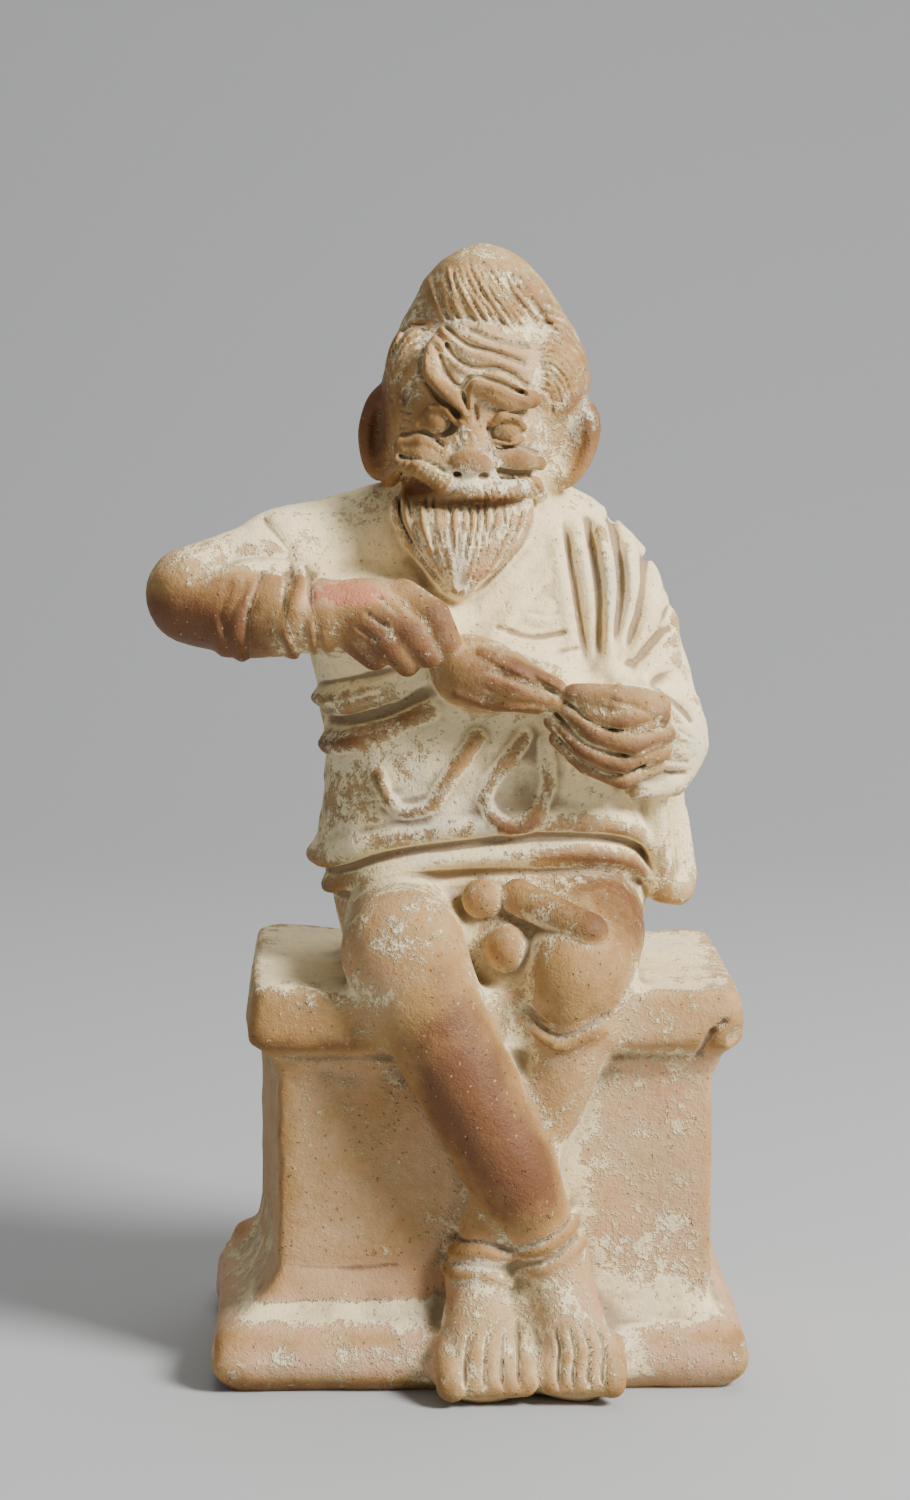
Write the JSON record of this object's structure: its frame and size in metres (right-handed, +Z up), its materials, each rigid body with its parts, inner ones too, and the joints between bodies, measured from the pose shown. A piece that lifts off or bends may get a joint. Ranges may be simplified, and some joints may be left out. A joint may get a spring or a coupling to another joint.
{
  "type": "classical figurine",
  "caption": "Moulded clay statuette of a bearded comic figure seated on a block altar, ankles crossed, drawing coins from a purse held in front of the chest.",
  "frame": {"origin": "centre of the altar's flat underside", "axes": "+Z up, the figure faces -Y, and +X is on the viewer's right"},
  "size_m": [0.0927, 0.0686, 0.1755],
  "materials": {
    "fired_clay": "matte fired clay with worn white slip"
  },
  "bodies": {
    "root": {"seated_figure_on_altar": "fired_clay"}
  },
  "joints": []
}
